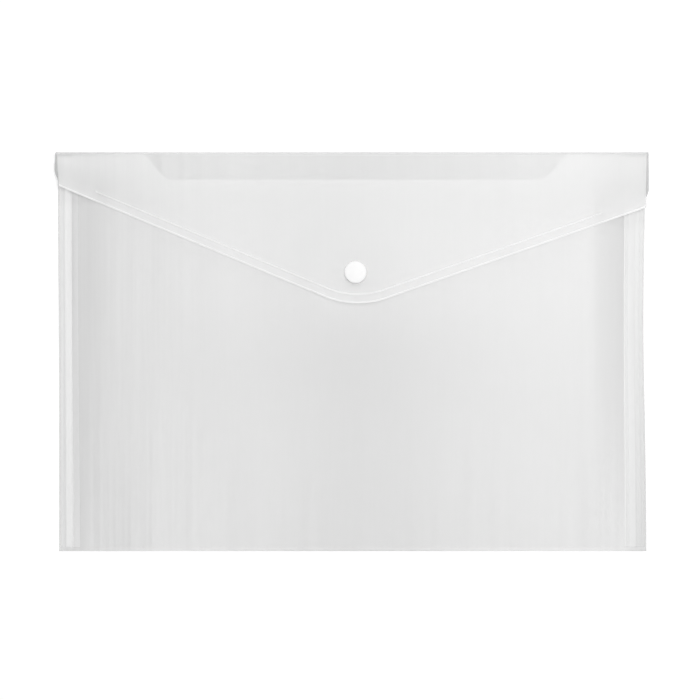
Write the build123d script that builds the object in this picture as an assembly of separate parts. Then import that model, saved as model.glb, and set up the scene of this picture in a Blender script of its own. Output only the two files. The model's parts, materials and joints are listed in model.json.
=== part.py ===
from build123d import *
import os
from math import atan2, degrees, sqrt

# Landscape A4 snap wallet of clear polypropylene sheet, lying on its back.
# X runs along the long side, Y towards the flap's fold, Z out of the front. Millimetres.
# The origin is under the middle of the wallet, on the surface that it lies on.

# Sheet and body
sheet_thickness = 0.2
body_width = 335.0
body_height = 227.0
pocket_depth = 5.6
overrun = 1.0

# Front panel
side_ramp = 16.0
bottom_ramp = 22.0
mouth_gap = 0.8
recess_depth = 15.7
recess_width = 211.0
recess_end_run = 16.5

# Bottom fold and side welds, whose raised lines are placed from the outer edge inwards
fold_margin = 2.0
left_seam_width = 7.2
right_seam_width = 12.3
weld_rib_width = 0.6
weld_rib_height = 0.1
left_rib_shares = (0.17, 0.46, 0.98)
right_rib_shares = (0.1, 0.26, 0.52, 0.78, 0.98)

# Creases of the spine strip
crease_clearance = 0.05
crease_stand_off = 0.8
spine_overhang = 0.5

# Flap, with its lengths along the sheet from the upper crease
left_shoulder = 19.0
right_shoulder = 31.1
apex_depth = 89.6
apex_offset = 1.3
tip_radius = 50.0
ear_reach = 2.3
ear_bulge_share = 0.55
right_ear_gap = 5.7
border_inset = 5.4
border_width = 0.8
border_height = 0.1

# Snap
snap_offset = 1.5
snap_to_apex = 21.4
cap_diameter = 12.2
cap_rim_height = 0.8
cap_dome_rise = 0.7
cap_edge_round = 0.5
post_diameter = 2.4
post_clearance = 0.05
rivet_head_overlap = 0.5
rivet_head_height = 0.4
rivet_head_sink = 0.1
stud_diameter = 10.2
stud_flange_height = 0.6
stud_boss_wall = 0.35
stud_boss_height = 1.2
stud_edge_round = 0.2
stud_side_clearance = 0.25
stud_end_clearance = 0.3
socket_diameter = 10.4
socket_web = 0.6
socket_lead_in = 0.3
snap_gap = 0.3
backing_diameter = 10.0
backing_height = 1.1
backing_edge_round = 0.5

# Places of the panels
half_width = body_width / 2
bottom_edge = -body_height / 2
top_edge = body_height / 2
panel_left = -half_width + left_seam_width
panel_right = half_width - right_seam_width
panel_bottom = bottom_edge + sheet_thickness + fold_margin
panel_top = top_edge - sheet_thickness - crease_clearance
front_top = top_edge - sheet_thickness - mouth_gap
plateau_bottom = sheet_thickness + pocket_depth
plateau_top = plateau_bottom + sheet_thickness

# Sizes of the snap's fits
rivet_head_diameter = post_diameter + 2 * rivet_head_overlap
head_room_diameter = rivet_head_diameter + 2 * post_clearance
stud_boss_diameter = head_room_diameter + 2 * stud_boss_wall
stud_head_recess = rivet_head_height + rivet_head_sink
socket_bore = stud_boss_diameter + 2 * stud_side_clearance
socket_height = socket_web + rivet_head_height + stud_end_clearance + stud_boss_height - snap_gap

# The flap leans up from its crease until its socket, square to it, meets the upright stud
crease_y = top_edge - sheet_thickness / 2
lower_crease_z = sheet_thickness / 2
upper_crease_z = plateau_top + crease_stand_off
snap_y = top_edge - apex_depth + snap_to_apex
socket_hang = sheet_thickness / 2 + socket_height
mouth_run = crease_y - snap_y
mouth_rise = plateau_top + stud_flange_height + snap_gap - upper_crease_z
snap_run = sqrt(mouth_run**2 + mouth_rise**2 - socket_hang**2)
flap_lean = degrees(atan2(mouth_rise, mouth_run) + atan2(socket_hang, snap_run))

# The flap and its half of the snap are drawn flat, with the upper crease along X, and laid in place
flap_place = Pos(0, crease_y, upper_crease_z) * Rot(-flap_lean, 0, 0)
cap_place = flap_place * Pos(snap_offset, -snap_run, sheet_thickness / 2)
socket_place = flap_place * Pos(snap_offset, -snap_run, -sheet_thickness / 2)
stud_place = Pos(snap_offset, snap_y, plateau_top)
backing_place = Pos(snap_offset, snap_y, plateau_bottom)


def block(low, high):
    # Box between two corners.
    middle = [(a + b) / 2 for a, b in zip(low, high)]
    return Pos(*middle) * Box(*[b - a for a, b in zip(low, high)])


def disc(diameter, low, high):
    # Upright cylinder between two heights.
    return Pos(0, 0, (low + high) / 2) * Cylinder(diameter / 2, high - low)


def post_hole(low, high):
    return disc(post_diameter + 2 * post_clearance, low, high)


def back_panel():
    return block((panel_left, panel_bottom, 0), (panel_right, panel_top, sheet_thickness))


def pocket_mound(floor, lift, mouth_reach):
    # Solid under the raised front: two roof sections, one along each side, cut each other.
    eaves = sheet_thickness + lift
    roof = plateau_bottom + lift
    left_ridge = (panel_left + side_ramp, roof)
    right_ridge = (panel_right - side_ramp, roof)
    across = TangentArc(left_ridge, (panel_left, eaves), tangent=(-1, 0))
    across += Polyline((panel_left, eaves), (panel_left, floor), (panel_right, floor), (panel_right, eaves))
    across += TangentArc(right_ridge, (panel_right, eaves), tangent=(1, 0))
    across += Line(left_ridge, right_ridge)
    bottom_ridge = (panel_bottom + bottom_ramp, roof)
    mouth = front_top + mouth_reach
    upward = TangentArc(bottom_ridge, (panel_bottom, eaves), tangent=(-1, 0))
    upward += Polyline((panel_bottom, eaves), (panel_bottom, floor), (mouth, floor), (mouth, roof))
    upward += Line((mouth, roof), bottom_ridge)
    long_roof = extrude(Plane.XZ * make_face(across), body_height, both=True)
    cross_roof = extrude(Plane.YZ * make_face(upward), body_width, both=True)
    return long_roof & cross_roof


def front_panel():
    # Shallow tray with swelling sides, an open top edge and a wide recess for the thumb.
    tray = pocket_mound(sheet_thickness, sheet_thickness, 0) - pocket_mound(0, 0, overrun)
    recess_bottom = top_edge - recess_depth
    recess_half = recess_width / 2
    recess_end = recess_half + recess_end_run
    recess = Polyline(
        (snap_offset - recess_half, recess_bottom),
        (snap_offset + recess_half, recess_bottom),
        (snap_offset + recess_end, top_edge),
        (snap_offset - recess_end, top_edge),
        close=True,
    )
    tray -= extrude(make_face(recess), plateau_top + overrun)
    return tray - Pos(snap_offset, snap_y) * post_hole(0, plateau_top + overrun)


def bottom_fold():
    # The sheet doubled over at the lower edge, with its round outer bend.
    bend_y = bottom_edge + sheet_thickness
    outline = ThreePointArc((bend_y, 0), (bottom_edge, sheet_thickness), (bend_y, 2 * sheet_thickness))
    outline += Polyline(
        (bend_y, 2 * sheet_thickness),
        (panel_bottom, 2 * sheet_thickness),
        (panel_bottom, 0),
        (bend_y, 0),
    )
    return extrude(Plane.YZ * make_face(outline), half_width, both=True)


def weld_seam(outer, inner, rib_shares):
    # Both sheets fused into one band, with raised weld lines along it.
    thickness = 2 * sheet_thickness
    inward = 1 if inner > outer else -1
    rib_span = abs(inner - outer) - weld_rib_width
    seam = block((min(outer, inner), panel_bottom, 0), (max(outer, inner), panel_top, thickness))
    for share in rib_shares:
        middle = outer + inward * (weld_rib_width / 2 + rib_span * share)
        rib_low = (middle - weld_rib_width / 2, panel_bottom, sheet_thickness)
        rib_high = (middle + weld_rib_width / 2, panel_top, thickness + weld_rib_height)
        seam += block(rib_low, rib_high)
    return seam


def spine_strip():
    # Strip between the two creases, rounded about each crease's axis.
    height = upper_crease_z - lower_crease_z
    section = SlotCenterToCenter(height, sheet_thickness, rotation=90)
    middle_z = (upper_crease_z + lower_crease_z) / 2
    strip = extrude(Plane.YZ * section, half_width + spine_overhang, both=True)
    return Pos(0, crease_y, middle_z) * strip


def flap_edge():
    # The two straight lower edges and the rounded tip between them.
    return FilletPolyline(
        (-half_width, -left_shoulder),
        (apex_offset, -apex_depth),
        (half_width, -right_shoulder),
        radius=tip_radius,
    )


def flap_panel():
    start = -sheet_thickness / 2 - crease_clearance
    top_reach = half_width + spine_overhang
    ear_side = half_width + ear_reach
    right_ear_length = right_shoulder - right_ear_gap
    left_top = (-top_reach, start)
    right_top = (top_reach, start)
    left_bulge = (-ear_side, -left_shoulder * ear_bulge_share)
    right_bulge = (ear_side, -right_ear_length * ear_bulge_share)
    right_ear_end = (half_width, -right_ear_length)
    outline = flap_edge()
    outline += ThreePointArc(left_top, left_bulge, (-half_width, -left_shoulder))
    outline += Line(left_top, right_top)
    outline += ThreePointArc(right_top, right_bulge, right_ear_end)
    outline += Line(right_ear_end, (half_width, -right_shoulder))
    sheet = Pos(0, 0, -sheet_thickness / 2) * extrude(make_face(outline), sheet_thickness)
    border_line = offset(flap_edge(), border_inset, side=Side.LEFT, closed=False)
    border = extrude(trace(border_line, border_width), sheet_thickness / 2 + border_height)
    hole = Pos(snap_offset, -snap_run) * post_hole(-overrun, overrun)
    return flap_place * (sheet + border - hole)


def snap_cap():
    # Domed button, its post and the head that the post is riveted over into.
    reach = sheet_thickness + socket_web
    radius = cap_diameter / 2
    top = cap_rim_height + cap_dome_rise
    dome_radius = (radius**2 + cap_dome_rise**2) / (2 * cap_dome_rise)
    profile = Polyline((0, top), (0, 0), (radius, 0), (radius, cap_rim_height))
    profile += RadiusArc((radius, cap_rim_height), (0, top), -dome_radius)
    section = make_face(profile)
    shoulder = section.vertices().group_by(Axis.X)[-1].sort_by(Axis.Y)[-1]
    button = revolve(Plane.XZ * fillet(shoulder, cap_edge_round), Axis.Z)
    post = disc(post_diameter, -reach, cap_rim_height / 2)
    head = disc(rivet_head_diameter, -reach - rivet_head_height, -reach)
    return cap_place * (button + post + head)


def snap_socket():
    # Ring under the flap: its web is clamped by the rivet and its bore takes the stud.
    ring = disc(socket_diameter, -socket_height, 0)
    bore = disc(socket_bore, -socket_height - overrun, -socket_web)
    socket = ring - bore - post_hole(-socket_height, overrun)
    mouth = socket.edges().group_by(Axis.Z)[0]
    return socket_place * chamfer(mouth, socket_lead_in)


def snap_stud():
    # Flange on the front panel with the round boss that the socket grips.
    top = stud_flange_height + stud_boss_height
    boss = disc(stud_boss_diameter, 0, top)
    boss = fillet(boss.edges().group_by(Axis.Z)[-1], stud_edge_round)
    stud = disc(stud_diameter, 0, stud_flange_height) + boss
    stud -= disc(head_room_diameter, top - stud_head_recess, top + overrun)
    return stud_place * (stud - post_hole(-overrun, top))


def stud_backing_cap():
    # Disc inside the pocket whose post goes up through the front panel and rivets the stud down.
    reach = sheet_thickness + stud_flange_height + stud_boss_height - stud_head_recess
    plate = disc(backing_diameter, -backing_height, 0)
    plate = fillet(plate.edges().group_by(Axis.Z)[0], backing_edge_round)
    post = disc(post_diameter, -backing_height / 2, reach)
    head = disc(rivet_head_diameter, reach, reach + rivet_head_height)
    return backing_place * (plate + post + head)


nodes = {
    "back_panel": back_panel(),
    "front_panel": front_panel(),
    "bottom_fold": bottom_fold(),
    "left_seam": weld_seam(-half_width, panel_left, left_rib_shares),
    "right_seam": weld_seam(half_width, panel_right, right_rib_shares),
    "spine_strip": spine_strip(),
    "flap_panel": flap_panel(),
    "snap_cap": snap_cap(),
    "snap_socket": snap_socket(),
    "snap_stud": snap_stud(),
    "stud_backing_cap": stud_backing_cap(),
}

os.makedirs("parts", exist_ok=True)
for name, shape in nodes.items():
    export_step(shape, f"parts/{name}.step")
    print(name, round(shape.volume, 2), "mm3")
print("upper crease at", round(crease_y, 3), round(upper_crease_z, 3), "flap lean", round(flap_lean, 3))
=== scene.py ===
import json
import math

import bmesh
import bpy
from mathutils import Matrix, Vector


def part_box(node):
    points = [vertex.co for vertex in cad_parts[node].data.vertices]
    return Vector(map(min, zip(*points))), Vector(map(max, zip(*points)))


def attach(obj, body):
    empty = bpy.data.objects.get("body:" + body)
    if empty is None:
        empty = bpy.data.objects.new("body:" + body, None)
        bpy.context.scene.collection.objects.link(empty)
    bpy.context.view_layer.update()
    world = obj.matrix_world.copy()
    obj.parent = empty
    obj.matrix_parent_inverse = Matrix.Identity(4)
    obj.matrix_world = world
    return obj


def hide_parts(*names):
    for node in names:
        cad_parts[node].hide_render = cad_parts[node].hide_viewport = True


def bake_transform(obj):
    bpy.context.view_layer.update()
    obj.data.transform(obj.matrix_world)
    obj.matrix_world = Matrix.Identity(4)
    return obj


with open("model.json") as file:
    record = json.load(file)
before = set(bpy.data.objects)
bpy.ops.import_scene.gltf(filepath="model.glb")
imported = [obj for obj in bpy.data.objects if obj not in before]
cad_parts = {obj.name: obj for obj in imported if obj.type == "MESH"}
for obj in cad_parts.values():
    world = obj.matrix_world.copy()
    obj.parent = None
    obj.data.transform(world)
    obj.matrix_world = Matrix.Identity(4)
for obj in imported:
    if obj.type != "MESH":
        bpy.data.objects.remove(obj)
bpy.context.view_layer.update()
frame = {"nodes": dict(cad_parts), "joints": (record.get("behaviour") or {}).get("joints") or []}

# Closed A4 snap wallet of frosted clear polypropylene sheet, lying on its back.
# Sizes are in millimetres and become metres where a point is placed.
mm = 0.001
perMetre = 1 / mm
scene = bpy.context.scene
scene.view_settings.view_transform = "Standard"
# a ray crosses several clear layers, and light passes to and fro between them
scene.cycles.transparent_max_bounces = 32
scene.cycles.max_bounces = 20
scene.cycles.diffuse_bounces = 10


def linear(hexText):
    # From sRGB, as colours are written, to the linear light that shaders use.
    parts = [int(hexText[i:i + 2], 16) / 255 for i in (0, 2, 4)]
    return [p / 12.92 if p <= 0.04045 else ((p + 0.055) / 1.055) ** 2.4 for p in parts] + [1.0]


def addNode(tree, kind, settings=(), values=(), links=()):
    # A Mix node's colours are its inputs 6 and 7 and its output 2, and its numbers are 2, 3 and 0.
    node = tree.nodes.new(kind)
    for key, value in dict(settings).items():
        setattr(node, key, value)
    for key, value in dict(values).items():
        node.inputs[key].default_value = value
    for key, socket in dict(links).items():
        tree.links.new(socket, node.inputs[key])
    return node


def newMaterial(name):
    material = bpy.data.materials.new(name)
    material.use_nodes = True
    material.node_tree.nodes.clear()
    return material, material.node_tree


def ease(t):
    t = min(1.0, max(0.0, t))
    return t * t * (3 - 2 * t)


def nodeBox(name):
    low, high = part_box(name)
    return low / mm, high / mm


def sheetGrid(acrossCount, alongCount, place, band=None):
    # A grid whose point (column, row) goes to place(column, row), with a material for each cell.
    bm = bmesh.new()
    bmesh.ops.create_grid(bm, x_segments=acrossCount, y_segments=alongCount, size=0.5)
    if band:
        for face in bm.faces:
            middle = face.calc_center_median()
            column = int((middle.x + 0.5) * acrossCount)
            row = int((middle.y + 0.5) * alongCount)
            face.material_index = band(column, row)
    for v in bm.verts:
        column = round((v.co.x + 0.5) * acrossCount)
        row = round((v.co.y + 0.5) * alongCount)
        v.co = Vector(place(column, row)) * mm
    bm.normal_update()
    return bm


def giveThickness(bm, thickness):
    # The sheet's middle is drawn: half its thickness goes to each side.
    for v in bm.verts:
        v.co += v.normal * thickness * mm / 2
    bmesh.ops.solidify(bm, geom=bm.faces[:], thickness=thickness * mm)
    bmesh.ops.recalc_face_normals(bm, faces=bm.faces[:])
    return bm


def finishPiece(name, bm, materials, nodes, sharpAngle=35):
    mesh = bpy.data.meshes.new(name)
    for face in bm.faces:
        face.smooth = True
    bm.to_mesh(mesh)
    bm.free()
    mesh.set_sharp_from_angle(angle=math.radians(sharpAngle))
    for material in materials:
        mesh.materials.append(material)
    piece = bpy.data.objects.new(name, mesh)
    scene.collection.objects.link(piece)
    if nodes:
        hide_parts(*nodes)
    print("made", name, len(mesh.polygons), "faces")
    return piece


# Frosted polypropylene sheet, extruded: satin and milky, with faint lines along the way it was drawn,
# strongest near the left side, and soft pools where the sheet is a little hazier.
# Painted shade and light vary it across X and towards the top, standing in for how the lamps fall on it.
ppLook = {
    "ior": 1.49,
    "roughness": 0.36,
    "roughSpread": 0.06,
    "grainSize": 0.7,              # frosting, drawn coarser than the real 0.1 mm so that it shows
    "streakWidth": 1.5,            # extrusion lines across X, drawn wider than the real 0.3 mm or so
    "streakLength": 240.0,
    "streakRange": (0.42, 0.6),    # the part of the noise that goes from line to plain
    "streakFrom": -140.0, "streakTo": -60.0, "streakLeast": 0.35,      # where the lines fade, and to what
    "poolSize": 60.0, "poolDepth": 0.02, "poolRange": (0.3, 0.7),
    "shadeRiseSpan": 110.0,             # half the height over which the painted shade and light towards the top is spread
    "bumpDepth": 0.01, "streakBump": 0.4, "grainBump": 0.3,
    # painted shade along X, as (place, share): darker near the sides and in the middle, where less light
    # falls
    "shadeAlongX": [(-168, 0.88), (-160, 0.88), (-151, 0.9), (-137, 0.878), (-122, 0.945), (-80, 1.0), (-16, 0.82),
             (12, 0.83), (40, 0.87), (88, 0.968), (120, 0.99), (153, 0.97), (157.5, 0.82), (168, 0.755)],
}


def ppSheet(name, colour, streakColour, alpha, shadeAndPoolShare, rise=0.0, look=ppLook):
    material, tree = newMaterial(name)
    spot = addNode(tree, "ShaderNodeTexCoord").outputs["Object"]
    axes = addNode(tree, "ShaderNodeSeparateXYZ", links={"Vector": spot})
    across = axes.outputs["X"]
    fine = perMetre / look["streakWidth"]
    streakScale = (fine, perMetre / look["streakLength"], fine)
    streakSpot = addNode(tree, "ShaderNodeMapping", values={"Scale": streakScale}, links={"Vector": spot})
    streaks = addNode(tree, "ShaderNodeTexNoise", values={"Scale": 1.0, "Detail": 2.0, "Roughness": 0.6},
                      links={"Vector": streakSpot.outputs["Vector"]})
    grain = addNode(tree, "ShaderNodeTexNoise", links={"Vector": spot},
                    values={"Scale": perMetre / look["grainSize"], "Detail": 1.0})
    pools = addNode(tree, "ShaderNodeTexNoise", links={"Vector": spot},
                    values={"Scale": perMetre / look["poolSize"], "Detail": 1.0})
    # streaks, weaker away from the left side
    share = addNode(tree, "ShaderNodeMapRange", links={"Value": streaks.outputs["Fac"]},
                    values={"From Min": look["streakRange"][0], "From Max": look["streakRange"][1]})
    reach = addNode(tree, "ShaderNodeMapRange", links={"Value": across},
                    values={"From Min": look["streakFrom"] * mm, "From Max": look["streakTo"] * mm,
                            "To Min": 1.0, "To Max": look["streakLeast"]})
    streakShare = addNode(tree, "ShaderNodeMath", settings={"operation": "MULTIPLY"},
                          links={0: share.outputs["Result"], 1: reach.outputs["Result"]})
    tone = addNode(tree, "ShaderNodeMix", settings={"data_type": "RGBA"},
                   values={6: linear(streakColour), 7: linear(colour)},
                   links={"Factor": streakShare.outputs["Value"]})
    # painted shade along X, and pools
    first, last = look["shadeAlongX"][0][0], look["shadeAlongX"][-1][0]
    shadeAlongXPlace = addNode(tree, "ShaderNodeMapRange", links={"Value": across},
                        values={"From Min": first * mm, "From Max": last * mm})
    shadeAlongX = addNode(tree, "ShaderNodeValToRGB", links={"Fac": shadeAlongXPlace.outputs["Result"]})
    shadeAlongX.color_ramp.interpolation = "B_SPLINE"
    shadeAlongX.color_ramp.elements.remove(shadeAlongX.color_ramp.elements[-1])
    for place, level in look["shadeAlongX"]:
        at = (place - first) / (last - first)
        stop = shadeAlongX.color_ramp.elements[0] if place == first else shadeAlongX.color_ramp.elements.new(at)
        stop.position = at
        stop.color = (level, level, level, 1)
    pool = addNode(tree, "ShaderNodeMapRange", links={"Value": pools.outputs["Fac"]},
                   values={"From Min": look["poolRange"][0], "From Max": look["poolRange"][1],
                           "To Min": 1 - look["poolDepth"], "To Max": 1.0})
    # painted shade and light: some pieces grow greyer or whiter towards the top, set against how the lamps
    # light them
    height = addNode(tree, "ShaderNodeMapRange", links={"Value": axes.outputs["Y"]},
                     values={"From Min": -look["shadeRiseSpan"] * mm, "From Max": look["shadeRiseSpan"] * mm,
                             "To Min": 1 - rise, "To Max": 1 + rise})
    level = addNode(tree, "ShaderNodeMath", settings={"operation": "MULTIPLY"},
                    links={0: pool.outputs["Result"], 1: height.outputs["Result"]})
    shadeAndPools = addNode(tree, "ShaderNodeMix", settings={"data_type": "RGBA", "blend_type": "MULTIPLY"},
                       values={"Factor": 1.0}, links={6: shadeAlongX.outputs["Color"], 7: level.outputs["Value"]})
    whole = addNode(tree, "ShaderNodeMix", settings={"data_type": "RGBA", "blend_type": "MULTIPLY"},
                    values={"Factor": shadeAndPoolShare}, links={6: tone.outputs[2], 7: shadeAndPools.outputs[2]})
    rough = addNode(tree, "ShaderNodeMapRange", links={"Value": grain.outputs["Fac"]},
                    values={"To Min": look["roughness"] - look["roughSpread"],
                            "To Max": look["roughness"] + look["roughSpread"]})
    lines = addNode(tree, "ShaderNodeBump", links={"Height": streaks.outputs["Fac"]},
                    values={"Strength": look["streakBump"], "Distance": look["bumpDepth"] * mm})
    frost = addNode(tree, "ShaderNodeBump",
                    values={"Strength": look["grainBump"], "Distance": look["bumpDepth"] * mm},
                    links={"Height": grain.outputs["Fac"], "Normal": lines.outputs["Normal"]})
    shader = addNode(tree, "ShaderNodeBsdfPrincipled", values={"IOR": look["ior"], "Alpha": alpha},
                     links={"Base Color": whole.outputs[2], "Roughness": rough.outputs["Result"],
                            "Normal": frost.outputs["Normal"]})
    addNode(tree, "ShaderNodeOutputMaterial", links={"Surface": shader.outputs["BSDF"]})
    return material


# Each finish has its colour, the lines' colour, how solid it looks, its share of the painted shade and
# pools, and its painted rise towards the top.
# The back lies under every other layer: its grey is painted shade for the light the layers above take from
# it, greyer still towards the top, and the front and the flap are clear and milky
pocketBackShade = ppSheet("ppSheetPocketBackShade", "cccccc", "f3f3f3", 0.46, 1.0, -0.05)
pocketFront = ppSheet("ppSheetPocketFront", "fdfdfd", "ffffff", 0.45, 0.15)
footLightBand = ppSheet("ppSheetFootPaintedLight", "fdfdfd", "ffffff", 0.55, 0.15)
flapClear = ppSheet("ppSheetFlap", "fdfdfd", "ffffff", 0.35, 0.15)
# crushed by a die the pressed line turns whiter, the cut edge's white is a painted highlight where it
# catches the light, and fused under a hot bar the sheet turns even and grey
pressedLine = ppSheet("ppSheetPressed", "fefefe", "ffffff", 0.56, 0.15)
cutEdgeHighlight = ppSheet("ppCutEdgePaintedHighlight", "fefefe", "ffffff", 0.58, 0.15)
weldBand = ppSheet("ppWeldPressed", "f8f8f8", "fdfdfd", 0.39, 0.7)
weldMargin = ppSheet("ppWeldMargin", "ececec", "f2f2f2", 0.38, 0.7)
# painted light: the right weld's margin turns whiter towards the top
rightMargin = ppSheet("ppWeldMarginRight", "f2f2f2", "f8f8f8", 0.38, 0.7, 0.1)
# painted shade: the grey of the rolled ears and of the bends stands in for the dark they show, turned edge
# on and away from the light
rolledEdgeShade = ppSheet("ppEdgeOnPaintedShade", "cfd0d0", "d7d8d8", 0.5, 0.4)
foldShadeGrey = ppSheet("ppFoldPaintedShade", "f8f8f8", "fbfbfb", 0.45, 0.8)
topFoldShade = ppSheet("ppFoldTopPaintedShade", "e0e0e0", "e8e8e8", 0.45, 0.6)
spineClear = ppSheet("ppCreaseStretched", "fdfdfd", "ffffff", 0.22, 0.15)
# below its line the top bend is clear, with painted shade greying it towards its ends
bendShadeLook = dict(ppLook, shadeAlongX=[(-168, 0.84), (-155, 0.87), (-140, 0.92), (-120, 0.965), (-80, 1.0),
                              (118, 1.0), (140, 0.92), (168, 0.95)])
bendClear = ppSheet("ppFoldBend", "fdfdfd", "ffffff", 0.38, 1.0, 0.0, bendShadeLook)

# White polypropylene snap, moulded: smooth and evenly white, with a soft gloss
snapLook = {
    "colour": "fafafa", "deep": "f5f5f5",
    "roughness": 0.5, "roughSpread": 0.05, "ior": 1.49,
    "flowSize": 3.0,      # faint clouds where the plastic flowed into the mould
}


def snapPlastic(look=snapLook):
    material, tree = newMaterial("whitePpMoulded")
    spot = addNode(tree, "ShaderNodeTexCoord").outputs["Object"]
    flow = addNode(tree, "ShaderNodeTexNoise", values={"Scale": perMetre / look["flowSize"], "Detail": 2.0},
                   links={"Vector": spot})
    tone = addNode(tree, "ShaderNodeMix", settings={"data_type": "RGBA"},
                   values={6: linear(look["colour"]), 7: linear(look["deep"])},
                   links={"Factor": flow.outputs["Fac"]})
    rough = addNode(tree, "ShaderNodeMapRange", links={"Value": flow.outputs["Fac"]},
                    values={"To Min": look["roughness"] - look["roughSpread"],
                            "To Max": look["roughness"] + look["roughSpread"]})
    shader = addNode(tree, "ShaderNodeBsdfPrincipled", values={"IOR": look["ior"]},
                     links={"Base Color": tone.outputs[2], "Roughness": rough.outputs["Result"]})
    addNode(tree, "ShaderNodeOutputMaterial", links={"Surface": shader.outputs["BSDF"]})
    return material


snapWhite = snapPlastic()
print("materials made")

# Places read from the frame
backLow, backHigh = nodeBox("back_panel")
creaseAt = {joint["name"]: Vector(joint["pos_m"]) / mm for joint in frame["joints"]}
capLow, capHigh = nodeBox("snap_cap")
snapX = (capLow.x + capHigh.x) / 2
snapY = (capLow.y + capHigh.y) / 2
creaseY = creaseAt["flap_fold"].y
creaseZ = creaseAt["flap_fold"].z
lowCreaseZ = creaseAt["spine_fold"].z

backShort = 0.25      # the back ends this far below the wallet's top
body = {
    "sheet": 0.2,
    "left": nodeBox("left_seam")[0].x, "right": nodeBox("right_seam")[1].x,
    "bottom": nodeBox("bottom_fold")[0].y, "top": backHigh.y + backShort,
    "leftFlare": 0.6, "flareFrom": -30.0, "flareRun": 115.0,    # the left edge leans out towards the top
    "rightBow": 1.7, "bowAt": 20.0, "bowSpan": 75.0,            # the right edge is drawn in at mid-height
}


def leftEdge(y):
    return body["left"] - body["leftFlare"] * ease((y - body["flareFrom"]) / body["flareRun"])


def rightEdge(y):
    return body["right"] - body["rightBow"] * math.exp(-((y - body["bowAt"]) / body["bowSpan"]) ** 2)


# Front of the pocket: swollen a little, with long soft ramps and a wide shallow recess in its mouth
pocket = {
    "left": backLow.x, "right": backHigh.x, "bottom": backLow.y,
    "top": 111.0,      # where the back goes over into the lower crease
    "depth": 5.6, "leftRamp": 24.0, "rightRamp": 20.0, "bottomRamp": 140.0, "bottomPower": 1.5,
    "mouth": nodeBox("front_panel")[1].y, "recessDepth": 15.7, "recessWidth": 211.0, "recessRun": 16.5,
    "leftLean": 0.0068, "leanFrom": 52.0, "rightDraw": 0.8,     # how far the welds' inner edges stray
    "pillow": 2.9, "pillowY": 25.0, "pillowSpread": (95.0, 52.0),       # fuller under the flap's tip
    # slow waves in the sheet, as (length, shift), a finer ripple, and how far they keep from the snap
    "wave": 0.22, "waveX": (37.0, 1.1), "waveY": (52.0, 0.6), "waveClear": 15.0,
    "ripple": 0.6, "rippleX": 17.0, "rippleY": 90.0,
    "columns": 170, "rows": 110, "footColumns": 2,
}


def innerLeft(y):
    return pocket["left"] + pocket["leftLean"] * max(0.0, pocket["leanFrom"] - y)


def innerRight(y):
    return pocket["right"] - pocket["rightDraw"] * math.exp(-((y - body["bowAt"]) / body["bowSpan"]) ** 2)


def swell(distance, ramp, power=2.0):
    t = min(1.0, max(0.0, distance / ramp))
    return 1 - (1 - t) ** power


def frontHeight(x, y):
    # Height of the front sheet's middle: at its edges it lies on the back sheet.
    p = pocket
    rise = swell(x - innerLeft(y), p["leftRamp"]) * swell(innerRight(y) - x, p["rightRamp"])
    rise *= swell(y - p["bottom"], p["bottomRamp"], p["bottomPower"])
    away = ((x - snapX) ** 2 + (y - snapY) ** 2) / p["waveClear"] ** 2
    lengthX, shiftX = p["waveX"]
    lengthY, shiftY = p["waveY"]
    wave = math.sin(x / lengthX + shiftX) * math.sin(y / lengthY + shiftY)
    wave += p["ripple"] * math.sin(x / p["rippleX"] + y / p["rippleY"])
    wave *= p["wave"]
    spreadX, spreadY = p["pillowSpread"]
    pillow = p["pillow"] * math.exp(-((x - snapX) / spreadX) ** 2 - ((y - p["pillowY"]) / spreadY) ** 2)
    return 1.5 * body["sheet"] + rise * (p["depth"] + (wave + pillow) * (1 - math.exp(-away)))


def mouthLine(x):
    p = pocket
    past = abs(x - snapX) - p["recessWidth"] / 2
    low = body["top"] - p["recessDepth"]
    return low + (p["mouth"] - low) * ease(past / p["recessRun"])


def placeFront(column, row):
    p = pocket
    x = p["left"] + (p["right"] - p["left"]) * column / p["columns"]
    y = p["bottom"] + (mouthLine(x) - p["bottom"]) * row / p["rows"]
    x = innerLeft(y) + (innerRight(y) - innerLeft(y)) * column / p["columns"]
    return x, y, frontHeight(x, y)


def frontBand(column, row):
    # painted light: beside the left weld, where the front lies close to the back, it is drawn more solid
    # and lighter
    return 1 if column < pocket["footColumns"] else 0


frontSheet = finishPiece(
    "frontSheet",
    giveThickness(sheetGrid(pocket["columns"], pocket["rows"], placeFront, frontBand), body["sheet"]),
    [pocketFront, footLightBand], ["front_panel"])
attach(frontSheet, "pocket")

backGrid = {"columns": 40, "rows": 30}


def placeBack(column, row):
    y = pocket["bottom"] + (pocket["top"] - pocket["bottom"]) * row / backGrid["rows"]
    x = innerLeft(y) + (innerRight(y) - innerLeft(y)) * column / backGrid["columns"]
    return x, y, body["sheet"] / 2


backSheet = finishPiece(
    "backSheet",
    giveThickness(sheetGrid(backGrid["columns"], backGrid["rows"], placeBack), body["sheet"]),
    [pocketBackShade], ["back_panel"])
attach(backSheet, "pocket")

# Side welds: each profile runs from the outer edge inwards, as (share of the width, height, band)
welds = {
    "left": [(0.0, 0.1, 0), (0.03, 0.34, 0), (0.14, 0.4, 0), (0.17, 0.46, 0), (0.2, 0.4, 0),
             (0.48, 0.38, 1), (0.52, 0.5, 1), (0.58, 0.42, 1), (0.9, 0.42, 1), (0.96, 0.48, 1),
             (1.0, 0.4, 1)],
    "right": [(0.0, 0.1, 0), (0.02, 0.34, 0), (0.08, 0.4, 0), (0.1, 0.48, 0), (0.13, 0.4, 0),
              (0.24, 0.4, 0), (0.26, 0.48, 0), (0.3, 0.4, 0), (0.5, 0.4, 1), (0.52, 0.46, 1),
              (0.75, 0.42, 1), (0.78, 0.5, 2), (0.82, 0.4, 2), (0.95, 0.4, 1), (0.98, 0.47, 1),
              (1.0, 0.4, 1)],
    "rows": 60,
}


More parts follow.
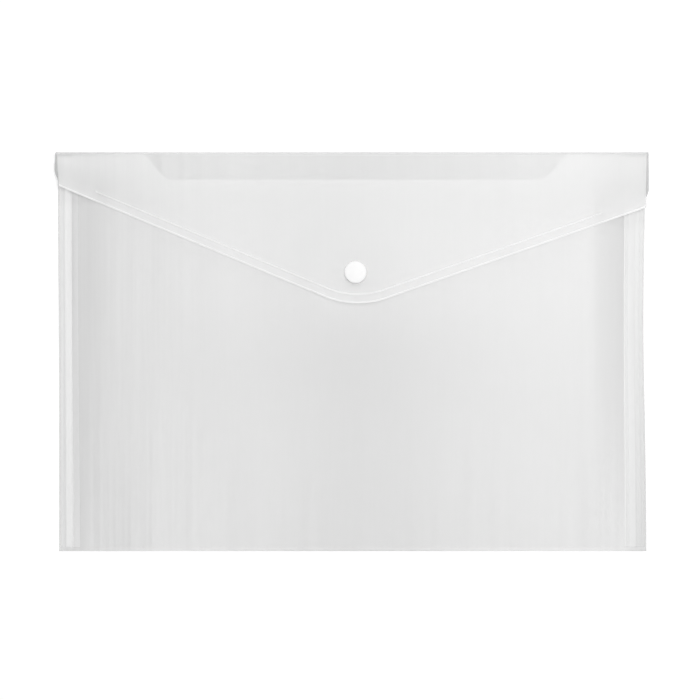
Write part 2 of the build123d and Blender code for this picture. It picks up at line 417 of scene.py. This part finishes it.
def weldStrip(profile, outerEdge, innerEdge):
    def place(column, row):
        y = pocket["bottom"] + (pocket["top"] - pocket["bottom"]) * row / welds["rows"]
        share, height = profile[column][:2]
        outer = outerEdge(y)
        return outer + (innerEdge(y) - outer) * share, y, height

    def band(column, row):
        return profile[column][2]

    bm = sheetGrid(len(profile) - 1, welds["rows"], place, band)
    # the underside is pressed flat
    made = bmesh.ops.extrude_face_region(bm, geom=bm.faces[:])
    for v in made["geom"]:
        if isinstance(v, bmesh.types.BMVert):
            v.co.z = 0
    bmesh.ops.recalc_face_normals(bm, faces=bm.faces[:])
    return bm


leftWeld = finishPiece("leftWeld", weldStrip(welds["left"], leftEdge, innerLeft),
                       [weldMargin, weldBand], ["left_seam"])
rightWeld = finishPiece("rightWeld", weldStrip(welds["right"], rightEdge, innerRight),
                        [rightMargin, weldBand, weldMargin], ["right_seam"])
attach(leftWeld, "pocket")
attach(rightWeld, "pocket")

# Bottom fold: the sheet doubled over, seen as a thin line of painted shade grey
foldLine = {"turns": 10, "columns": 80, "play": 0.98, "line": 0.6}


def foldPath():
    # From the back sheet round the bend to the front sheet, as (y, z).
    half = body["sheet"] / 2
    bend = body["bottom"] + body["sheet"]
    path = [(pocket["bottom"], half), (body["bottom"] + foldLine["line"], half)]
    for turn in range(foldLine["turns"] + 1):
        angle = math.pi * turn / foldLine["turns"]
        path.append((bend - half * math.sin(angle), 2 * half - half * math.cos(angle)))
    return path + [(body["bottom"] + foldLine["line"], 3 * half), (pocket["bottom"], 3 * half)]


foldRows = foldPath()


def placeFold(column, row):
    left, right = leftEdge(body["bottom"]), rightEdge(body["bottom"])
    return left + (right - left) * column / foldLine["columns"], *foldRows[row]


def foldBand(column, row):
    # painted shade grey round the bend, and the two panels' own finish at its ends
    if row == 0:
        return 0
    return 2 if row == len(foldRows) - 2 else 1


bottomFold = finishPiece(
    "bottomFold",
    giveThickness(sheetGrid(foldLine["columns"], len(foldRows) - 1, placeFold, foldBand),
                  body["sheet"] * foldLine["play"]),
    [pocketBackShade, foldShadeGrey, pocketFront], ["bottom_fold"])
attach(bottomFold, "pocket")
print("pocket done")

# Flap, with its lengths along the sheet from the upper crease
flap = {
    "lean": 2.02, "leftShoulder": 19.0, "rightShoulder": 31.1, "apex": (1.3, 89.6), "tipRadius": 50.0,
    "start": 3.5, "bend": 1.7,      # where the flat sheet starts, and the creases' bend
    # slow waves, as (length, shift) across, and how far they keep from the crease and the snap
    "wave": 0.12, "waveX": (31.0, 0.7), "waveAlong": 24.0, "waveFrom": 20.0, "waveClear": 17.0,
    # settling on the pocket, and dipping a little just below the snap
    "sagFrom": 5.0, "sagRun": 34.0, "sagBy": 0.95, "sagClear": 8.0, "sagReach": 32.0,
    "rest": 0.36, "least": 5.1,
    "dipFrom": 5.6, "dipRun": 4.0, "dipWide": 12.0, "dipShare": 0.14,
    # rows and columns of the sheet, closer together round the tip, and how far in the pressed line ends
    "rows": 36, "step": 2.4, "tipStep": 1.1, "tipHalf": 24.0, "marginWidth": 7.0, "marginColumns": 7,
    "lineEnds": (18, 20),
}
# Its two ears roll down past the pocket's sides: side is where an ear starts from, top and reach how far
# it stands out, full and end where it begins to narrow and ends, and inner where it begins to roll
ears = {
    -1: {"side": 167.5, "top": 1.45, "reach": 2.2, "full": 0.6, "end": 15.4,
         "inner": 167.72, "innerLean": 0.03},
    1: {"side": 166.6, "top": 1.4, "reach": 1.75, "full": 0.82, "end": 25.4,
        "inner": 166.62, "innerLean": 0.008},
}
earShape = {"columns": 5, "least": 0.12, "taper": 1.6, "drop": 1.4}
lean = math.radians(flap["lean"])
spineHalf = body["right"] + 0.5      # the spine stands out half a millimetre past the pocket's side


def onFlap(x, along, lift):
    # A point of the flap, from its distance along the sheet and its height over it.
    y = creaseY - along * math.cos(lean) + lift * math.sin(lean)
    return x, y, creaseZ + along * math.sin(lean) + lift * math.cos(lean)


def tipArc():
    # The two straight edges' slopes, where they meet the rounded tip, and the middle of its arc.
    apexX, apexDepth = flap["apex"]
    leftAngle = math.atan2(apexDepth - flap["leftShoulder"], apexX - body["left"])
    rightAngle = math.atan2(apexDepth - flap["rightShoulder"], body["right"] - apexX)
    back = flap["tipRadius"] * math.tan((leftAngle + rightAngle) / 2)
    startX = apexX - back * math.cos(leftAngle)
    startDepth = apexDepth - back * math.sin(leftAngle)
    middleX = startX + flap["tipRadius"] * math.sin(leftAngle)
    middleDepth = startDepth - flap["tipRadius"] * math.cos(leftAngle)
    return leftAngle, rightAngle, startX, apexX + back * math.cos(rightAngle), middleX, middleDepth


leftAngle, rightAngle, arcStart, arcEnd, arcX, arcDepth = tipArc()


def flapEdge(x):
    # Depth of the lower edge at x, and its slope.
    apexX, apexDepth = flap["apex"]
    if x < arcStart:
        return apexDepth - (apexX - x) * math.tan(leftAngle), math.tan(leftAngle)
    if x > arcEnd:
        return apexDepth - (x - apexX) * math.tan(rightAngle), -math.tan(rightAngle)
    run = math.sqrt(flap["tipRadius"] ** 2 - (x - arcX) ** 2)
    return arcDepth + run, -(x - arcX) / run


def earEdges(side, along):
    # How far out the ear begins to roll, and where it ends.
    ear = ears[side]
    t = along / ear["end"]
    out = ear["top"] + (ear["reach"] - ear["top"]) * ease(t / ear["full"])
    out *= 1 - min(1.0, max(0.0, (t - ear["full"]) / (1 - ear["full"]))) ** earShape["taper"]
    inner = ear["inner"] - ear["innerLean"] * along
    return inner, max(inner + earShape["least"], ear["side"] + out)


# Columns of the flap: ear, margin, middle, margin, ear
middleColumns = [body["left"] + flap["marginWidth"]]
while middleColumns[-1] < body["right"] - flap["marginWidth"] - flap["step"]:
    lastX = middleColumns[-1]
    nearTip = abs(lastX - flap["apex"][0]) < flap["tipHalf"]
    middleColumns.append(lastX + (flap["tipStep"] if nearTip else flap["step"]))
sideColumns = earShape["columns"] + flap["marginColumns"]
flapColumnCount = 2 * sideColumns + len(middleColumns) - 1


def acrossFlap(column, along, spineShare=0.0):
    # Place across the flap, and how far the sheet has rolled down there.
    side = -1 if column < sideColumns else 1
    step = column if side < 0 else flapColumnCount - column
    if step >= sideColumns:
        return middleColumns[column - sideColumns], 0.0
    inner, outer = earEdges(side, along)
    outer += (spineHalf - outer) * spineShare
    near = abs(middleColumns[0] if side < 0 else middleColumns[-1])
    if step >= earShape["columns"]:
        share = (step - earShape["columns"]) / flap["marginColumns"]
        return side * (inner + (near - inner) * share), 0.0
    share = 1 - step / earShape["columns"]
    return side * (inner + (outer - inner) * share), -earShape["drop"] * (outer - inner) * share ** 2


def isEar(column):
    return column < earShape["columns"] or column >= flapColumnCount - earShape["columns"]


def flapSag(x, along):
    # How far the limp sheet settles towards the pocket, away from the crease and the snap.
    gap = onFlap(x, along, 0)[2] - max(flap["least"], frontHeight(x, creaseY - along)) - flap["rest"]
    below = snapY - creaseY + along
    near = ease((math.hypot(x - snapX, below) - flap["sagClear"]) / flap["sagReach"])
    dip = flap["dipShare"] * ease((below - flap["dipFrom"]) / flap["dipRun"])
    dip *= math.exp(-((x - snapX) / flap["dipWide"]) ** 2)
    run = min(flap["sagRun"], flap["sagBy"] * (flapEdge(x)[0] - flap["sagFrom"]))
    share = ease((along - flap["sagFrom"]) / run) * (near + (1 - near) * dip)
    return share * max(0.0, gap)


# Rows near the lower edge: (distance from the edge, height, band of the cells up to the next row)
# band 1 is the pressed line, and band 2 the cut edge's painted highlight
edgeRows = [
    (6.0, 0.0, 0), (5.8, 0.0, 1), (5.5, 0.015, 1), (5.2, 0.015, 1), (4.9, 0.0, 0), (4.4, 0.0, 0),
    (2.6, 0.0, 0), (1.1, 0.0, 2), (0.8, 0.03, 2), (0.4, 0.03, 2), (0.0, 0.0, 2),
]
flapRowCount = flap["rows"] + len(edgeRows) - 1


def placeFlap(column, row):
    startX = acrossFlap(column, flap["start"])[0]
    edge, slope = flapEdge(min(body["right"], max(body["left"], startX)))
    stretch = math.sqrt(1 + slope * slope)
    inner = edge - edgeRows[0][0] * stretch
    lift = 0.0
    if row <= flap["rows"]:
        along = flap["start"] + (inner - flap["start"]) * row / flap["rows"]
    else:
        fromEdge, lift = edgeRows[row - flap["rows"]][:2]
        along = edge - fromEdge * stretch
    x, drop = acrossFlap(column, along)
    away = ((x - snapX) ** 2 + (creaseY - along - snapY) ** 2) / flap["waveClear"] ** 2
    length, shift = flap["waveX"]
    wave = flap["wave"] * math.sin(x / length + shift) * math.sin(along / flap["waveAlong"])
    wave *= (1 - math.exp(-away)) * ease(along / flap["waveFrom"])
    return onFlap(x, along, lift + wave + drop - flapSag(x, along))


def flapBand(column, row):
    # the ears take the painted shade of a sheet seen edge on
    if isEar(column):
        return 3
    band = edgeRows[row - flap["rows"]][2] if row >= flap["rows"] else 0
    atSide = not flap["lineEnds"][0] <= column < flapColumnCount - flap["lineEnds"][1]
    return 0 if band == 1 and atSide else band        # the pressed line stops short of the sides


flapSheet = finishPiece(
    "flapSheet",
    giveThickness(sheetGrid(flapColumnCount, flapRowCount, placeFlap, flapBand), body["sheet"]),
    [flapClear, pressedLine, cutEdgeHighlight, rolledEdgeShade], ["flap_panel"], sharpAngle=50)
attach(flapSheet, "flap")

# The two soft creases: each is a strip round its bend, and they meet half-way up the spine.
# Rows go round a bend in so many turns, and the upper one leads on to the flap
crease = {"turns": 10, "columns": 110, "lead": 3, "clearRows": 4, "shadeRows": 5}
spineMiddle = (creaseZ + lowCreaseZ) / 2


def upperPath(row):
    # From half-way up the spine, round the bend and on to the flap, as (y, z, distance along the flap).
    turn = math.pi / 2 - lean
    tangent = flap["bend"] * math.tan(turn / 2)
    if row == 0:
        return creaseY, spineMiddle, 0.0
    if row > crease["turns"] + 1:
        along = tangent + (flap["start"] - tangent) * (row - crease["turns"] - 1) / crease["lead"]
        spot = onFlap(0, along, 0)
        return spot[1], spot[2], along
    angle = turn * (row - 1) / crease["turns"]
    y = creaseY - flap["bend"] * (1 - math.cos(angle))
    return y, creaseZ - tangent + flap["bend"] * math.sin(angle), creaseY - y


def placeUpper(column, row):
    y, z, along = upperPath(row)
    x, drop = acrossFlap(column, along, 1 - ease((z - spineMiddle) / (creaseZ - spineMiddle)))
    return x, y, z + drop * ease(along / flap["start"])


def upperBand(column, row):
    if isEar(column):
        return 1
    if row < 1 or row > crease["turns"] + 1:
        return 0
    return 2 if row <= crease["shadeRows"] else 3        # the top line is painted shade grey, and then the bend clears


def lowerBand(column, row):
    return 1 if row > crease["turns"] + 1 - crease["clearRows"] else 0


def lowerPath(row):
    # From the back panel, round the bend and half-way up the spine.
    if row == 0:
        return pocket["top"], lowCreaseZ
    if row == crease["turns"] + 2:
        return creaseY, spineMiddle
    angle = math.pi / 2 * (row - 1) / crease["turns"]
    return creaseY - flap["bend"] * (1 - math.sin(angle)), lowCreaseZ + flap["bend"] * (1 - math.cos(angle))


def placeLower(column, row):
    y, z = lowerPath(row)
    up = ease((z - lowCreaseZ) / (spineMiddle - lowCreaseZ))
    left = leftEdge(y) * (1 - up) - spineHalf * up
    right = rightEdge(y) * (1 - up) + spineHalf * up
    return left + (right - left) * column / crease["columns"], y, z


upperCrease = finishPiece(
    "upperCrease",
    giveThickness(sheetGrid(flapColumnCount, crease["turns"] + 1 + crease["lead"], placeUpper, upperBand),
                  body["sheet"]),
    [flapClear, rolledEdgeShade, topFoldShade, bendClear], [], sharpAngle=50)
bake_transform(upperCrease)

lowerCrease = finishPiece(
    "lowerCrease",
    giveThickness(sheetGrid(crease["columns"], crease["turns"] + 2, placeLower, lowerBand), body["sheet"]),
    [pocketBackShade, spineClear], ["spine_strip"], sharpAngle=50)
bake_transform(lowerCrease)
print("flap done")

# Snap: the cap is a domed button with a rounded rim, set a little below the middle of its node
capShape = {
    "radius": 6.25, "rim": 1.15, "rise": 0.3, "round": 0.5, "foot": 0.15, "lower": 0.32,
    "segments": 96, "roundSteps": 6, "roundShare": 0.86, "domeSteps": 12,
    "mergeWithin": 0.001,
}


def spunCap():
    # Half a profile spun round its own axis, then set square on the flap.
    c = capShape
    outline = [(0.0, 0.0), (c["radius"] - c["foot"], 0.0), (c["radius"], c["foot"])]
    for step in range(c["roundSteps"] + 1):
        angle = math.pi / 2 * c["roundShare"] * step / c["roundSteps"]
        outline.append((c["radius"] - c["round"] * (1 - math.cos(angle)),
                        c["rim"] - c["round"] * (1 - math.sin(angle))))
    edgeRadius, edgeHeight = outline[-1]
    top = c["rim"] + c["rise"]
    for step in range(1, c["domeSteps"] + 1):
        share = 1 - step / c["domeSteps"]
        outline.append((edgeRadius * share, top - (top - edgeHeight) * share ** 2))
    bm = bmesh.new()
    verts = [bm.verts.new((r * mm, 0, h * mm)) for r, h in outline]
    edges = [bm.edges.new(pair) for pair in zip(verts, verts[1:])]
    bmesh.ops.spin(bm, geom=verts + edges, cent=(0, 0, 0), axis=(0, 0, 1), angle=2 * math.pi,
                   steps=c["segments"], use_merge=True, dvec=(0, 0, 0))
    bmesh.ops.remove_doubles(bm, verts=bm.verts[:], dist=c["mergeWithin"] * mm)
    bmesh.ops.recalc_face_normals(bm, faces=bm.faces[:])
    capAlong = (creaseY - snapY) / math.cos(lean) + c["lower"]
    for v in bm.verts:
        x, y, z = v.co / mm
        v.co = Vector(onFlap(snapX + x, capAlong - y, body["sheet"] / 2 + z)) * mm
    return bm


snapCap = finishPiece("snapCap", spunCap(), [snapWhite], ["snap_cap"], sharpAngle=60)
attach(snapCap, "flap")
# the snap's hidden halves keep their CAD shape
for name in ("snap_socket", "snap_stud", "stud_backing_cap"):
    node = frame["nodes"][name]
    node.data.materials.clear()
    node.data.materials.append(snapWhite)
print("snap done")

# Stage: the floor and the lamps are placed in metres
stage = {
    "floorSize": 1.3, "floorColour": "fdfdfd",
    "lift": 0.1,       # how much white is added where the floor is seen
    "under": 0.05,     # millimetres below the wallet
}


def whiteFloor():
    bm = bmesh.new()
    bmesh.ops.create_grid(bm, x_segments=1, y_segments=1, size=stage["floorSize"] / 2)
    mesh = bpy.data.meshes.new("floor")
    bm.to_mesh(mesh)
    bm.free()
    floor = bpy.data.objects.new("floor", mesh)
    floor.location.z = -stage["under"] * mm
    scene.collection.objects.link(floor)
    # white paper: a plain diffuse sheet, lifted to white where the camera, a reflection or glass sees it
    material, tree = newMaterial("studioPaper")
    path = addNode(tree, "ShaderNodeLightPath").outputs
    mirrored = addNode(tree, "ShaderNodeMath", settings={"operation": "MAXIMUM"},
                       links={0: path["Is Glossy Ray"], 1: path["Is Transmission Ray"]})
    seen = addNode(tree, "ShaderNodeMath", settings={"operation": "MAXIMUM"},
                   links={0: path["Is Camera Ray"], 1: mirrored.outputs[0]})
    strength = addNode(tree, "ShaderNodeMath", settings={"operation": "MULTIPLY"},
                       links={0: seen.outputs[0]}, values={1: stage["lift"]})
    paper = addNode(tree, "ShaderNodeBsdfDiffuse", values={"Color": linear(stage["floorColour"])})
    glow = addNode(tree, "ShaderNodeEmission", links={"Strength": strength.outputs[0]})
    both = addNode(tree, "ShaderNodeAddShader", links={0: paper.outputs[0], 1: glow.outputs[0]})
    addNode(tree, "ShaderNodeOutputMaterial", links={"Surface": both.outputs[0]})
    mesh.materials.append(material)


whiteFloor()

lights = {
    "world": 0.372,
    "keyAt": (0.3, 0.28, 2.3), "keySize": (1.1, 1.1), "keyPower": 29.4,
    "topAt": (0.0, 2.7, 1.98), "topSize": (1.8, 0.9), "topPower": 22.5,
}


def softLight():
    world = bpy.data.worlds.new("studio")
    scene.world = world
    world.use_nodes = True
    tree = world.node_tree
    tree.nodes.clear()
    path = addNode(tree, "ShaderNodeLightPath").outputs
    level = addNode(tree, "ShaderNodeMix", settings={"data_type": "FLOAT"},
                    links={"Factor": path["Is Camera Ray"]}, values={2: lights["world"], 3: 1.0})
    sky = addNode(tree, "ShaderNodeBackground", values={"Color": linear("ffffff")},
                  links={"Strength": level.outputs[0]})
    addNode(tree, "ShaderNodeOutputWorld", links={"Surface": sky.outputs[0]})
    # a softbox almost overhead, and a weaker one low at the top side that draws the shadow under the cap
    for name in ("key", "top"):
        lamp = bpy.data.lights.new(name + "Softbox", "AREA")
        lamp.shape = "RECTANGLE"
        lamp.size, lamp.size_y = lights[name + "Size"]
        lamp.energy = lights[name + "Power"]
        box = bpy.data.objects.new(name + "Softbox", lamp)
        box.location = lights[name + "At"]
        box.rotation_mode = "QUATERNION"
        box.rotation_quaternion = (-Vector(lights[name + "At"])).to_track_quat("-Z", "Y")
        scene.collection.objects.link(box)


softLight()

# The photo looks straight down at the wallet
view = {
    "across": 399.2,                           # how much of the wallet's plane fills the picture's width
    "plane": 0.2, "centre": (-1.6, 1.08),      # that plane's height, and the picture's middle on it
    "distance": 1.4, "clip": (0.05, 20.0),     # in metres
    "sensor": 36.0,
}


def placeCamera():
    data = bpy.data.cameras.new("photoView")
    data.sensor_width = view["sensor"]
    data.lens = view["sensor"] * view["distance"] / (view["across"] * mm)
    data.clip_start, data.clip_end = view["clip"]
    camera = bpy.data.objects.new("photoView", data)
    centreX, centreY = view["centre"]
    camera.location = (centreX * mm, centreY * mm, view["distance"] + view["plane"] * mm)
    scene.collection.objects.link(camera)
    scene.camera = camera


placeCamera()
print("stage set")
